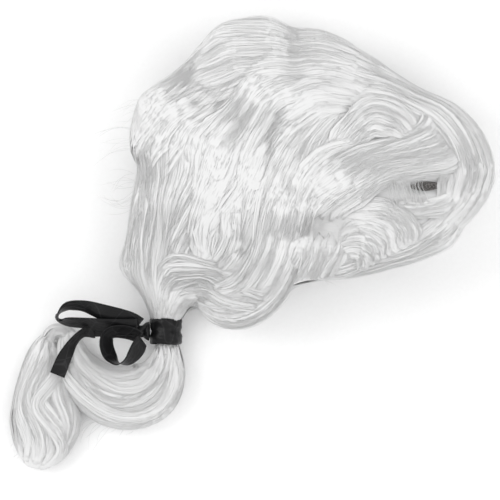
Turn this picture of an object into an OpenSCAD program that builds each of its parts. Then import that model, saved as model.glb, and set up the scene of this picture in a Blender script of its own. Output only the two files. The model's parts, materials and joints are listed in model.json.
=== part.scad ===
// Costume wig of the colonial kind: a stretch cap with sewn wefts, a full head of swept-back
// hair, two soft locks over the ears and a low queue tied with a ribbon bow.
// It lies on its wearer's left side. +X points to the forehead, +Y to the crown of the head
// and +Z to the wearer's right. The origin is on the surface that the wig lies on, under the
// middle of its bounding box. All lengths are in millimetres and all angles in degrees.

/* [Cap] */
// Length of the cap from forehead to nape
cap_length = 176; // [170:1:180]
// Height of the cap from its edge to the crown
cap_height = 160; // [154:1:164]
// Breadth of the cap as it lies, flattened, on its side
cap_breadth = 72; // [66:1:74]
// Thickness of the stretch net
net_t = 1.5; // [1:0.1:1.6]
// Width of the bands and ribs sewn inside the net
band_w = 10; // [8:1:12]

/* [Wefts] */
// Number of weft tracks sewn round the cap
track_count = 6; // [6:1:6]
// Width of one weft track
track_w = 3; // [2:0.5:4]
// Height of the first track above the cap's edge
track_first = 12; // [8:1:16]
// Distance from one track to the next
track_pitch = 22; // [18:1:24]

/* [Ear tabs and adjusters] */
// Length of an ear tab below the cap's edge
tab_length = 16; // [12:1:18]
// Width of an ear tab
tab_w = 26; // [20:1:28]
// Length of an adjuster strap
strap_length = 44; // [40:1:46]
// Width of an adjuster strap
strap_w = 8; // [6:1:9]

/* [Hair] */
// Height of the hair above the surface it lies on
hair_top = 110; // [106:1:114]
// Gap between the cap and the hair that its tracks carry
hair_gap = 3.2; // [3:0.1:3.6]
// Gap between neighbouring masses of hair
part_gap = 0.4; // [0.3:0.1:0.6]

/* [Queue and ribbon] */
// Angle of the queue where it is tied, from +X
queue_heading = 240; // [236:1:244]
// Radius of the hair inside the tie
bundle_r = 9; // [8.5:0.1:9.1]
// Width of the ribbon
ribbon_w = 20; // [18:1:20]
// Thickness of the ribbon and its lining, as one layer
ribbon_t = 1.2; // [1:0.1:1.2]

/* [Hidden] */

form_fn = 32;
track_fn = 96;
round_fn = 48;
curve_steps = 2;
section_sides = 12;
far = 600;

hair_color = [0.93, 0.93, 0.92];
net_color = [0.85, 0.84, 0.82];
band_color = [0.78, 0.77, 0.75];
ribbon_color = [0.06, 0.06, 0.07];
plastic_color = [0.9, 0.9, 0.88];

// The cap is half an ellipsoid, cut at the plane of its edge.
cap_middle = [118, -82.4, 52];
band_out = net_t + 0.3;
band_t = 1.2;
track_low = 0.3;
track_high = 1.6;
track_front = 184;
ear_x = 118;
ear_half = 12;
tab_t = 2.4;
tab_z = cap_breadth / 2 - 2;
tab_gap = 0.5;
stay_w = 3;
stay_t = 1;
stay_play = 0.1;

// The adjuster straps run along a chord inside the cap, from the ear down to the nape.
strap_x = 104;
strap_tilt = 16;
strap_rise = 30.2;
strap_t = 1;
strap_y = 4;
hook_l = 7;
hook_rim = 0.6;
hook_slot = 1.6;
loop_l = 2.4;
loop_count = 4;
loop_pitch = 5;
loop_gap = 0.8;
tape_l = loop_count * loop_pitch + 3;

// The outer line of the hair, seen from the wearer's right, from the forehead over the crown
// to the nape. The masses take stretches of it, by the numbers of its points.
hair_line = [
    [221, -80], [225, -56], [220, -30], [202, -6], [188, 22], [174, 52], [156, 78], [136, 92],
    [124, 109], [108, 118], [86, 124], [66, 117], [34, 107], [6, 106], [-6, 96], [-18, 80],
    [-22, 58], [-40, 38], [-56, 14], [-74, -6], [-60, -18], [-48, -25], [-34, -31], [-20, -46],
    [-24, -64], [-28, -82.6]
];
front_end = 5;
crown_end = 12;
back_end = 22;
side_end = 24;
hair_mid_z = cap_middle[2];
half_over = hair_top - hair_mid_z;
half_under = hair_mid_z;
low_rows = [0, 10, 22, 35, 50];
side_rows = [50, 62, 75, 90];
turn_gap = 0.15;

// The lower line of the hair, past the cap's edge, as [x, y].
edge_line = [
    [50, -89], [66, -95], [80, -101], [96, -106], [112, -109], [128, -112], [146, -115],
    [164, -117], [182, -110], [200, -100], [214, -90]
];
lock_end = 7;
edge_rows = [0, 0.3, 0.6, 0.85, 1];
lock_span = [60, 140];
lock_hem_r = 2.4;
lock_hem = [cap_middle[1] - 2.9, hair_top - lock_hem_r - 0.4];
lock_height = 0.94;
mouth_start = -100;
mouth_run = 17;
mouth_pinch = 0.4;
lock_least = 3;

// Places along the queue, measured from the pivot in its neck.
neck = [-63.3, -50.6, 15];
neck_r = 13.9;
neck_clear = 14.4;
neck_flat = 6.5;
tie_half = 12;
gather_s = -29;
wrap_s = 6.8;
bundle_end = 27.5;
elastic_l = 6;
elastic_t = 1.2;
wrap_in = bundle_r + elastic_t + 0.2;
wrap_out = wrap_in + ribbon_t;
swing_s = 40;
swing_r = 12;
swing_h = 24;
end_pivot = [-162, -27];
end_r = 10;
end_gap = 0.6;
end_h = 18;

// The knot sits on the side of the wrap that faces away from the cap's edge.
knot_size = [15, 9, 13];
knot_side = -(wrap_out + 0.2);
knot_low = -3;
knot_pinch = 3;

// The loops stand on edge from loop_low to loop_high, and the tail lies at tail_low.
loop_low = 33;
loop_high = 47;
loop_roll_r = 1.4;
loop_roll_l = 9;
tail_low = 29.5;
tail_roll_r = 0.75;
tail_roll_l = 7.6;
tail_root_half = 4;
tail_end_half = 5;

function unit(v) = v / norm(v);
function side_of(v) = [-v[1], v[0]];
function along(s) = [neck[0] + s * cos(queue_heading), neck[1] + s * sin(queue_heading)];

// Catmull-Rom curves through a list of points, closed or open.
function blend_points(a, b, c, d, t) =
    0.5 * (2 * b + (c - a) * t + (2 * a - 5 * b + 4 * c - d) * t * t
        + (3 * b - a - 3 * c + d) * t * t * t);
function closed_curve(p, steps) = [
    for (i = [0:len(p) - 1], j = [0:steps - 1])
        let (n = len(p))
        blend_points(p[(i + n - 1) % n], p[i], p[(i + 1) % n], p[(i + 2) % n], j / steps)
];
function open_curve(p, steps) = let (n = len(p)) concat([
    for (i = [0:n - 2], j = [0:steps - 1])
        blend_points(p[max(i - 1, 0)], p[i], p[i + 1], p[min(i + 2, n - 1)], j / steps)
], [p[n - 1]]);

// Faces of a skin over rings of equal length, each a loop of n points.
function skin_faces(rings, n) = concat(
    [[for (i = [0:n - 1]) i]],
    [for (r = [0:rings - 2], i = [0:n - 1])
        [r * n + i, (r + 1) * n + i, (r + 1) * n + (i + 1) % n, r * n + (i + 1) % n]],
    [[for (i = [n - 1:-1:0]) (rings - 1) * n + i]]
);

// Faces of a block with n columns of m points on its inner side, then the same on its outer.
function block_faces(n, m) = let (k = n * m) concat(
    [for (i = [0:n - 2], j = [0:m - 2])
        [i * m + j, (i + 1) * m + j, (i + 1) * m + j + 1, i * m + j + 1]],
    [for (i = [0:n - 2], j = [0:m - 2])
        [k + i * m + j, k + i * m + j + 1, k + (i + 1) * m + j + 1, k + (i + 1) * m + j]],
    [for (i = [0:n - 2], j = [0, m - 1])
        j == 0
            ? [i * m, k + i * m, k + (i + 1) * m, (i + 1) * m]
            : [i * m + j, (i + 1) * m + j, k + (i + 1) * m + j, k + i * m + j]],
    [for (j = [0:m - 2]) [j, j + 1, k + j + 1, k + j]],
    [for (j = [0:m - 2], e = (n - 1) * m + j) [e, k + e, k + e + 1, e + 1]]
);

// A round sweep. Each station is [x, y, z, half width, half height].
module sweep(stations) {
    path = open_curve(stations, curve_steps * 2);
    last = len(path) - 1;
    points = [for (i = [0:last], k = [0:section_sides - 1])
        let (
            a = path[max(i - 1, 0)],
            b = path[min(i + 1, last)],
            side = side_of(unit([b[0] - a[0], b[1] - a[1]])),
            turn = 360 * k / section_sides,
            w = path[i][3] * cos(turn),
            h = path[i][4] * sin(turn)
        )
        [path[i][0] + side[0] * w, path[i][1] + side[1] * w, path[i][2] + h]];
    polyhedron(points, skin_faces(last + 1, section_sides), convexity = 6);
}

// Joins what it is given into one mesh and leaves its size as it is.
module one_mesh() {
    resize([0, 0, 0]) children();
}

module above_surface() {
    intersection() {
        children();
        translate([-far / 2, -far / 2, 0]) cube(far);
    }
}

// A box given by its low and high corners.
module span(low, high) {
    translate(low) cube(high - low);
}

// The head's form, grown outwards or, with a negative grow, shrunk inwards.
module head_form(grow, sides) {
    translate(cap_middle)
        scale([cap_length / 2 + grow, cap_height + grow, cap_breadth / 2 + grow])
            sphere(r = 1, $fn = sides);
}

module shell(out, t, sides = form_fn) {
    difference() {
        head_form(out, sides);
        head_form(out - t, sides);
    }
}

module beyond_edge(rise) {
    span([-far / 2, cap_middle[1] + rise, -far / 2], [far / 2, far, far / 2]);
}

module cap_net() {
    color(net_color) intersection() {
        shell(0, net_t);
        beyond_edge(0);
    }
}

module edge_band(x_low, x_high) {
    color(band_color) intersection() {
        shell(-band_out, band_t);
        span([x_low, cap_middle[1], 0], [x_high, cap_middle[1] + band_w, far]);
    }
}

module front_band() edge_band(ear_x + ear_half, far);
module nape_band() edge_band(-far, ear_x - ear_half);

module crown_rib() {
    color(band_color) intersection() {
        shell(-band_out, band_t);
        span(
            [-far, cap_middle[1] + band_w + part_gap, cap_middle[2] - band_w / 2],
            [far, far, cap_middle[2] + band_w / 2]
        );
    }
}

module side_rib(side) {
    color(band_color) intersection() {
        shell(-band_out, band_t);
        translate([ear_x, cap_middle[1] + band_w + part_gap, cap_middle[2]])
            mirror([0, 0, side < 0 ? 1 : 0])
                span([-band_w / 2, 0, band_w / 2 + part_gap], [band_w / 2, far, far]);
    }
}

module side_rib_right() side_rib(1);
module side_rib_left() side_rib(-1);

module weft_track(i) {
    rise = track_first + (i - 1) * track_pitch;
    color(band_color) one_mesh() intersection() {
        shell(track_high, track_high - track_low, track_fn);
        span(
            [-far, cap_middle[1] + rise, -far],
            [track_front, cap_middle[1] + rise + track_w, far]
        );
    }
}

// Puts a right-hand piece at the cap's edge, or mirrors it to the wearer's left.
module at_side(side) {
    translate(cap_middle) mirror([0, 0, side < 0 ? 1 : 0]) children();
}

// The strap's own frame: x runs towards the nape and z away from the head.
module at_strap(side) {
    at_side(side)
        translate([strap_x - cap_middle[0], strap_y, strap_rise])
            rotate([0, 180 - strap_tilt, 0])
                mirror([0, 0, 1])
                    children();
}

module ear_tab(side) {
    color(net_color) at_side(side) difference() {
        union() {
            translate([-tab_w / 2, -tab_length, tab_z - tab_t / 2])
                cube([tab_w, tab_length - tab_gap - tab_t / 2, tab_t]);
            translate([-tab_w / 2, -tab_gap - tab_t / 2, tab_z])
                rotate([0, 90, 0])
                    cylinder(r = tab_t / 2, h = tab_w, $fn = round_fn);
        }
        stay_box(stay_play);
    }
}

// The flexible stay's place inside its tab.
module stay_box(play) {
    low = [-stay_w / 2 - play, 2 - tab_length - play, tab_z - stay_t / 2 - play];
    span(low, low + [stay_w, tab_length - 5, stay_t] + 2 * play * [1, 1, 1]);
}

module ear_stay(side) {
    color(plastic_color) at_side(side) stay_box(0);
}

module ear_tab_right() ear_tab(1);
module ear_tab_left() ear_tab(-1);
module ear_stay_right() ear_stay(1);
module ear_stay_left() ear_stay(-1);

module adjuster_strap(side) {
    color(band_color) at_strap(side)
        cube([strap_length - hook_l + 1, strap_w, strap_t]);
}

module adjuster_hook(side) {
    color(plastic_color) at_strap(side) {
        difference() {
            translate([strap_length - hook_l, -hook_rim, -hook_rim])
                cube([hook_l, strap_w + 2 * hook_rim, strap_t + 2 * hook_rim]);
            translate([strap_length - hook_l - 1, 0, 0])
                cube([2, strap_w, strap_t]);
            translate([strap_length - 3, hook_slot, -1])
                cube([hook_slot, strap_w - 2 * hook_slot, 2 * strap_t + 2]);
        }
    }
}

module loop_tape(side) {
    color(band_color) at_strap(side)
        translate([strap_length - hook_l - 2, 0, strap_t + hook_rim + loop_gap])
            difference() {
                cube([tape_l, strap_w, strap_t]);
                for (i = [0:loop_count - 1])
                    translate([2 + i * loop_pitch, 2, -strap_t])
                        cube([loop_l, strap_w - 4, 3 * strap_t]);
            }
}

module adjuster_strap_right() adjuster_strap(1);
module adjuster_strap_left() adjuster_strap(-1);
module adjuster_hook_right() adjuster_hook(1);
module adjuster_hook_left() adjuster_hook(-1);
module loop_tape_right() loop_tape(1);
module loop_tape_left() loop_tape(-1);

// A frame whose x runs down the queue from the neck pivot, with z still up.
module at_neck() {
    translate(neck) rotate([0, 0, queue_heading]) children();
}

// Mirrors a right-hand mass to the wearer's left, and parts the two by a gap.
module parted(side) {
    color(hair_color) translate([0, 0, hair_mid_z]) mirror([0, 0, side < 0 ? 1 : 0])
        translate([0, 0, part_gap / 2]) children();
}

// How far the hair stands from the middle plane. It is flat where it lies on its side.
function stand(side, rise) =
    side < 0 ? min(half_over * sqrt(rise), half_under - part_gap / 2)
        : half_over * sqrt(rise) - part_gap / 2;

// A mass of hair on the cap: a stretch of the hair line, between two heights round the head.
module hair_mass(side, first, last, rows) {
    n = last - first + 1;
    middle = [cap_middle[0], cap_middle[1]];
    form = [
        cap_length / 2 + hair_gap, cap_height + hair_gap, cap_breadth / 2 + hair_gap
    ];
    function turned(i) = let (
            d = hair_line[first + i] - middle,
            g = i == 0 ? turn_gap : i == n - 1 ? -turn_gap : 0
        ) [d[0] * cos(g) - d[1] * sin(g), d[0] * sin(g) + d[1] * cos(g)];
    function row(j) = rows[j] + (j == 0 && rows[0] > 0 ? 2 * turn_gap : 0);
    inner = [for (i = [0:n - 1], j = [0:len(rows) - 1])
        let (d = turned(i), turn = atan2(d[1] / form[1], d[0] / form[0]), r = row(j))
        [
            middle[0] + form[0] * cos(r) * cos(turn),
            middle[1] + form[1] * cos(r) * sin(turn),
            form[2] * sin(r)
        ]];
    outer = [for (i = [0:n - 1], j = [0:len(rows) - 1])
        let (q = middle + sqrt(cos(row(j))) * turned(i))
        [q[0], q[1], stand(side, sin(row(j)))]];
    parted(side) polyhedron(concat(inner, outer), block_faces(n, len(rows)), convexity = 6);
}

// A lock that hangs past the cap's edge, over a stretch of the edge line.
module edge_lock(side, first, last) {
    n = last - first + 1;
    top = cap_middle[1] - part_gap;
    function across(x) = (x - cap_middle[0]) / (cap_length / 2 + hair_gap);
    function narrowed(y) = 1 - mouth_pinch * min(max((mouth_start - y) / mouth_run, 0), 1);
    function under(x, y) = (cap_breadth / 2 + hair_gap)
        * sqrt(max(1 - across(x) * across(x), 0.02)) * narrowed(y);
    function over(x, t) = lock_height * stand(side, sqrt(1 - pow(across(x) * 0.86, 4)))
        * pow(1 - pow(t, 2.5), 0.4);
    grid = [for (i = [0:n - 1], t = edge_rows)
        let (p = edge_line[first + i], g = i == 0 ? part_gap / 2 : i == n - 1 ? -part_gap / 2 : 0)
        [p[0] + g, top + t * (p[1] - top), t]];
    inner = [for (q = grid) [q[0], q[1], under(q[0], q[1])]];
    outer = [for (q = grid)
        [q[0], q[1], max(over(q[0], q[2]), under(q[0], q[1]) + lock_least)]];
    parted(side) polyhedron(concat(outer, inner), block_faces(n, len(edge_rows)), convexity = 6);
}

module hair_front_right() hair_mass(1, 0, front_end, low_rows);
module hair_front_left() hair_mass(-1, 0, front_end, low_rows);
module hair_crown_right() hair_mass(1, front_end, crown_end, low_rows);
module hair_crown_left() hair_mass(-1, front_end, crown_end, low_rows);
module hair_back_right() hair_mass(1, crown_end, back_end, low_rows);
module hair_back_left() hair_mass(-1, crown_end, back_end, low_rows);
module hair_nape_right() hair_mass(1, back_end, len(hair_line) - 1, low_rows);
module hair_nape_left() hair_mass(-1, back_end, len(hair_line) - 1, low_rows);
module hair_side_right() hair_mass(1, 0, side_end, side_rows);
module hair_side_left() hair_mass(-1, 0, side_end, side_rows);

// The right ear lock lifts on the rolled hem of the weft that carries it.
module ear_lock_right() {
    edge_lock(1, 0, lock_end);
    color(hair_color) translate([lock_span[0], lock_hem[0], lock_hem[1]]) rotate([0, 90, 0])
        cylinder(r = lock_hem_r, h = lock_span[1] - lock_span[0], $fn = round_fn);
}

module ear_lock_left() edge_lock(-1, 0, lock_end);
module temple_lock_right() edge_lock(1, lock_end, len(edge_line) - 1);
module temple_lock_left() edge_lock(-1, lock_end, len(edge_line) - 1);

// The hair drawn together above the tie.
module hair_gather() {
    color(hair_color) difference() {
        above_surface() sweep([
            concat(along(gather_s), [29, 23, 27]),
            concat(along(gather_s + 10), [21, 20, 20]),
            concat(along(gather_s + 20), [16, 15, 15]),
            concat(along(0), [15, 12, 12])
        ]);
        at_neck() rotate([90, 0, 0])
            cylinder(r = neck_clear, h = far, center = true, $fn = round_fn);
    }
}

// The hair inside the tie, round at its top end so that the queue can lift there.
module tied_hair() {
    color(hair_color) at_neck() {
        intersection() {
            rotate([90, 0, 0]) cylinder(r = neck_r, h = 2 * tie_half, center = true, $fn = round_fn);
            span([-far, -far, -far], [neck_flat, far, far]);
        }
        translate([neck_flat - 1, 0, 0]) rotate([0, 90, 0])
            cylinder(r = bundle_r, h = bundle_end - neck_flat + 1, $fn = round_fn);
    }
}

module tube_at_neck(s, length, inner, outer) {
    at_neck() translate([s, 0, 0]) rotate([0, 90, 0]) difference() {
        cylinder(r = outer, h = length, $fn = round_fn);
        translate([0, 0, -1]) cylinder(r = inner, h = length + 2, $fn = round_fn);
    }
}

module tie_elastic() {
    color(plastic_color)
        tube_at_neck(wrap_s + (ribbon_w - elastic_l) / 2, elastic_l, bundle_r, wrap_in - 0.1);
}

module ribbon_wrap() {
    color(ribbon_color) tube_at_neck(wrap_s, ribbon_w, wrap_in, wrap_out);
}

// The knot is a block of bunched ribbon with its two upper edges cut away.
module ribbon_knot() {
    color(ribbon_color) at_neck()
        translate([wrap_s + (ribbon_w - knot_size[0]) / 2, knot_side - knot_size[1], knot_low])
            difference() {
                cube(knot_size);
                for (y = [0, knot_size[1]])
                    translate([knot_size[0] / 2, y, knot_size[2]])
                        rotate([0, 90, 0])
                            cylinder(r = knot_pinch, h = far, center = true, $fn = 4);
            }
}

// The roll of ribbon on which a loop or tail turns: its middle, its heading and its length.
module ribbon_roll(middle, heading, length, r) {
    color(ribbon_color) translate(middle) rotate([0, 90, heading])
        cylinder(r = r, h = length, center = true, $fn = round_fn);
}

// A flat band of ribbon standing on its edge round a closed outline.
module ribbon_loop(outline) {
    curve = closed_curve(outline, curve_steps * 2);
    n = len(curve);
    inner = [for (i = [0:n - 1])
        let (tangent = unit(curve[(i + 1) % n] - curve[(i + n - 1) % n]))
        curve[i] + ribbon_t * side_of(tangent)];
    color(ribbon_color) translate([0, 0, loop_low])
        linear_extrude(height = loop_high - loop_low)
            polygon(concat(curve, inner), [[for (i = [0:n - 1]) i], [for (i = [0:n - 1]) n + i]]);
}

module bow_loop_upper() {
    ribbon_loop([
        [-90, -52], [-88, -47], [-101, -31], [-117, -12], [-130, -8], [-141, -12],
        [-136, -22], [-122, -32], [-104, -44]
    ]);
    ribbon_roll([-90, -50, loop_low], 49, loop_roll_l, loop_roll_r);
}

module bow_loop_lower() {
    ribbon_loop([
        [-92, -57], [-104, -49], [-115, -46], [-121, -54], [-118, -67], [-103, -70], [-92, -64]
    ]);
    ribbon_roll([-93, -60, loop_low], 104, loop_roll_l, loop_roll_r);
}

// A flat strip of ribbon lying along a path.
module ribbon_strip(path, half_w) {
    curve = open_curve(path, curve_steps * 2);
    last = len(curve) - 1;
    function edge(i, s) = curve[i]
        + s * half_w * side_of(unit(curve[min(i + 1, last)] - curve[max(i - 1, 0)]));
    color(ribbon_color) translate([0, 0, tail_low]) linear_extrude(height = ribbon_t)
        polygon(concat([for (i = [0:last]) edge(i, -1)], [for (i = [last:-1:0]) edge(i, 1)]));
}

module ribbon_tail_root() ribbon_strip([[-92, -55], [-106, -47.5], [-118, -42.8]], tail_root_half);

module ribbon_tail_end() {
    ribbon_strip([[-122, -41.5], [-134, -40], [-148, -43], [-163, -53]], tail_end_half);
    ribbon_roll([-122, -41.5, tail_low + ribbon_t / 2], 105.7, tail_roll_l, tail_roll_r);
}

// The queue below the tie: a wide bend, and an end that folds back beside it.
module queue_bend() {
    color(hair_color) difference() {
        above_surface() {
            sweep([
                concat(along(swing_s - 1), [13, 11, 12]),
                [-93, -94, 13.5, 19, 14.5],
                [-112, -100, 13.5, 24, 15],
                [-132, -91, 13.5, 24, 15],
                [-144, -74, 13.5, 19, 14],
                [-148, -55, 12.5, 14, 13],
                [-147, -38, 11.5, 11, 11]
            ]);
            translate([along(swing_s)[0], along(swing_s)[1], 1])
                cylinder(r = swing_r, h = swing_h, $fn = round_fn);
        }
        translate([end_pivot[0], end_pivot[1], -1])
            cylinder(r = end_r + end_gap, h = far, $fn = round_fn);
    }
}

module queue_end() {
    color(hair_color) above_surface() {
        translate([end_pivot[0], end_pivot[1], 1]) cylinder(r = end_r, h = end_h, $fn = round_fn);
        sweep([
            [-163, -27, 10, 8, 9],
            [-175, -36, 11, 11, 12],
            [-186, -58, 12, 17, 13],
            [-196, -82, 12, 22, 13],
            [-208, -97, 11, 16, 12],
            [-221.5, -109, 9, 5, 8]
        ]);
    }
}

cap_net();
front_band();
nape_band();
crown_rib();
side_rib_right();
side_rib_left();
weft_track(1);  // weft_track_1
weft_track(2);  // weft_track_2
weft_track(3);  // weft_track_3
weft_track(4);  // weft_track_4
weft_track(5);  // weft_track_5
weft_track(6);  // weft_track_6
loop_tape_right();
loop_tape_left();
hair_front_right();
hair_front_left();
hair_crown_right();
hair_crown_left();
hair_side_right();
hair_side_left();
hair_back_right();
hair_back_left();
hair_nape_right();
hair_nape_left();
hair_gather();
ear_lock_right();
ear_lock_left();
temple_lock_right();
temple_lock_left();
ear_tab_right();
ear_tab_left();
ear_stay_right();
ear_stay_left();
adjuster_strap_right();
adjuster_strap_left();
adjuster_hook_right();
adjuster_hook_left();
tied_hair();
tie_elastic();
ribbon_wrap();
ribbon_knot();
ribbon_tail_root();
bow_loop_upper();
bow_loop_lower();
ribbon_tail_end();
queue_bend();
queue_end();
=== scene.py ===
"""Looks of a costume wig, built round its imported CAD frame.

The hair is combed in fans. A fan is a few guide curves laid on the head of hair, and its locks
run between them. Points and sizes are in millimetres, and mesh_object() turns them into metres.
"""

import json
import math

import bpy
import numpy as np
from mathutils import Matrix, Vector

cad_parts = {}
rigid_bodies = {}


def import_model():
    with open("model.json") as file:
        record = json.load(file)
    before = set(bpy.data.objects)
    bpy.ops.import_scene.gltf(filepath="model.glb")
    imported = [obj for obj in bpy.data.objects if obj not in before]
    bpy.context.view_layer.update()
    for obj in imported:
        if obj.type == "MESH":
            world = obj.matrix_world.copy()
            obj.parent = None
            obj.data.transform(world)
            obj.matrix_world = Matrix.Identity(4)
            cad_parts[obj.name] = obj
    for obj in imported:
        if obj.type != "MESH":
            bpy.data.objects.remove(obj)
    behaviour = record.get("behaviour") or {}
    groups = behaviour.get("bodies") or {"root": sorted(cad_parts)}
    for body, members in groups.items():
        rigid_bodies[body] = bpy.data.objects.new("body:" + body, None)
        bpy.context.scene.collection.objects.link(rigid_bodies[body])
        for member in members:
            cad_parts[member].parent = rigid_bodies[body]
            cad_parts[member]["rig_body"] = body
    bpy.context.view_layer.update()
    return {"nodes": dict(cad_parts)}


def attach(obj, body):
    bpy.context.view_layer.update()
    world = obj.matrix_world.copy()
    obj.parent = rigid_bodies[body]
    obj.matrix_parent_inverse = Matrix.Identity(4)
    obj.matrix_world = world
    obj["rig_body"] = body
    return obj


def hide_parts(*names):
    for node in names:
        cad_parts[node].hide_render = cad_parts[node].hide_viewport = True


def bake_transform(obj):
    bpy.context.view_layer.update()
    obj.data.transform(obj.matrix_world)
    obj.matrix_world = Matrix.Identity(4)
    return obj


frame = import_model()

MM = 0.001

# The plan outline of the head of hair, from the forehead over the crown to the nape and back
# along the cap's edge.
OUTLINE = [
    (221, -80), (225, -56), (220, -30), (203, -6), (188, 22), (174, 52), (156, 78), (136, 92),
    (124, 109), (108, 118), (86, 124), (66, 117), (34, 107), (6, 106), (-6, 96), (-18, 80),
    (-21, 58), (-38, 38), (-55, 15), (-74, -8), (-73, -24), (-62, -38), (-46, -47), (-37, -58),
    (-33, -70), (-24, -84), (-6, -92), (14, -90), (30, -83), (50, -88), (66, -94), (80, -100),
    (96, -105), (112, -108), (128, -111), (146, -114), (164, -116), (182, -110), (200, -100),
    (214, -90),
]
CENTRE = np.array([82.0, -5.0])
TOP_ROUND = 2.7
LOW_ROUND = 4.5
MID_Z = 52.0
TOP_Z = 106.0
LOW_Z = 1.2

# The cap, as in the CAD: half an ellipsoid, cut at the plane of its edge.
CAP_MIDDLE = np.array([118.0, -82.4, 52.0])
CAP_AXES = np.array([88.0, 160.0, 36.0])

# The body of hair under the locks lies this far from the head's surface and from the cap.
BED_LIFT = -0.9
LINING_GAP = 1.2

# The opening for the head, in the outline's right hand side.
MOUTH_X = 128
MOUTH_HALF = 86
MOUTH_RISE = 24
MOUTH_Y = -78

# The neck of the queue, where it is tied.
NECK = np.array([-63.3, -50.6, 15.0])
DOWN = np.array([-0.5, -0.866, 0.0])
ACROSS = np.array([0.866, -0.5, 0.0])
UP = np.array([0.0, 0.0, 1.0])

# The head of hair gets lower towards the neck, from this far away.
NECK_MID_Z = 24
NECK_TOP_Z = 44
SLOPE_END = 10
SLOPE_RUN = 125

# Swells and hollows of the hair: x, y, half length, half width, heading in degrees, height.
RELIEF = [
    (80, -58, 25, 12, -32, -19),
    (99, -24, 24, 14, -32, 5),
    (29, -22, 27, 5, 62, -6),
    (168, -70, 17, 5, -28, -12),
    (149, -20, 14, 4, -28, -6),
    (156, 0, 20, 10, -28, 4),
    (126, -92, 20, 12, -30, 4),
    (-8, -66, 26, 18, -10, 6),
    (60, 70, 40, 9, 20, -3),
    (110, 40, 38, 12, -40, 3),
    (15, 10, 34, 8, 50, 3),
    (70, 15, 36, 7, 55, -4),
]

# The locks are thin, and the fine strands over them are many.
THIN = 0.36
FULL = 2.6
STRAND_R = (0.08, 0.13)
STRAY = 0.13

STEPS = 28
STRAND_STEPS = 18

# A lock's corners over its domed upper side.
LOCK_TOP_SIDES = 16

# Ridges along a lock, as shares of its thickness: random ones, and one at every second corner.
RIDGE = 0.05
ZIGZAG = 0.03

# A lock grows from its root and closes to its tip over these shares of its length.
ROOT_SHARE = 0.16
TIP_SHARE = 0.22


def unit(v):
    return v / np.maximum(np.linalg.norm(v, axis=-1, keepdims=True), 1e-9)


def smooth(t):
    t = np.clip(t, 0, 1)
    return t * t * (3 - 2 * t)


def across(p, normal):
    """Sideways and outward directions along curves that lie on a surface."""
    ahead = unit(np.gradient(p, axis=1))
    side = unit(np.cross(ahead, normal))
    return side, np.cross(side, ahead)


def hermite(a, b, c, d, t):
    """The point between b and c on a Catmull-Rom curve."""
    return 0.5 * (
        2 * b + (c - a) * t + (2 * a - 5 * b + 4 * c - d) * t**2 + (3 * b - a - 3 * c + d) * t**3
    )


def curve_points(points, count):
    """A smooth curve through the points, as count points evenly spaced."""
    p = np.asarray(points, float)
    p = np.vstack([2 * p[0] - p[1], p, 2 * p[-1] - p[-2]])
    t = np.linspace(0, 1, 12, endpoint=False)[:, None]
    parts = [hermite(*p[i - 1 : i + 3], t) for i in range(1, len(p) - 2)]
    line = np.vstack(parts + [p[-2][None]])
    run = np.r_[0, np.cumsum(np.linalg.norm(np.diff(line, axis=0), axis=1))]
    at = np.linspace(0, run[-1], count)
    return np.stack([np.interp(at, run, line[:, k]) for k in range(line.shape[1])], 1)


def outline_table():
    line = curve_points(OUTLINE + OUTLINE[:2], 900)
    d = line - CENTRE
    turn = np.arctan2(d[:, 1], d[:, 0])
    order = np.argsort(turn)
    return turn[order], np.hypot(d[:, 0], d[:, 1])[order]


OUT_TURN, OUT_R = outline_table()


def reach(turn):
    """The outline's distance from the middle, in a direction."""
    return np.interp(turn, OUT_TURN, OUT_R, period=2 * math.pi)


def mouth_gap(turn):
    """Half the height of the opening for the head, at the outline in a direction."""
    x = CENTRE[0] + reach(turn) * np.cos(turn)
    y = CENTRE[1] + reach(turn) * np.sin(turn)
    inside = np.clip(1 - ((x - MOUTH_X) / MOUTH_HALF) ** 2, 0, 1)
    return np.where(y < MOUTH_Y, MOUTH_RISE * np.sqrt(inside), 0.0)


def relief(x, y):
    total = np.zeros_like(x)
    for cx, cy, long, wide, heading, height in RELIEF:
        c, s = math.cos(math.radians(heading)), math.sin(math.radians(heading))
        a = ((x - cx) * c + (y - cy) * s) / long
        b = ((y - cy) * c - (x - cx) * s) / wide
        total += height * np.exp(-(a**2 + b**2))
    return total


def chart(points):
    """Places (x, y) on the upper side, (x, y, -1) on the under side, on the unrolled head.

    A third number over 1 is the level itself: 1 at the outline and 2 under the middle.
    """
    p = np.array([(tuple(a) + (1,))[:3] for a in points], float)
    d = p[:, :2] - CENTRE
    turn = np.arctan2(d[:, 1], d[:, 0])
    rho = np.clip(np.hypot(d[:, 0], d[:, 1]) / reach(turn), 0, 0.9995)
    upper = 2 / math.pi * np.arcsin(rho ** (TOP_ROUND / 2))
    lower = 2 - 2 / math.pi * np.arcsin(rho ** (LOW_ROUND / 2))
    w = np.where(p[:, 2] > 0, upper, lower)
    w = np.where(p[:, 2] > 1, p[:, 2], w)
    return w[:, None] * np.stack([np.cos(turn), np.sin(turn)], 1)


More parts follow.
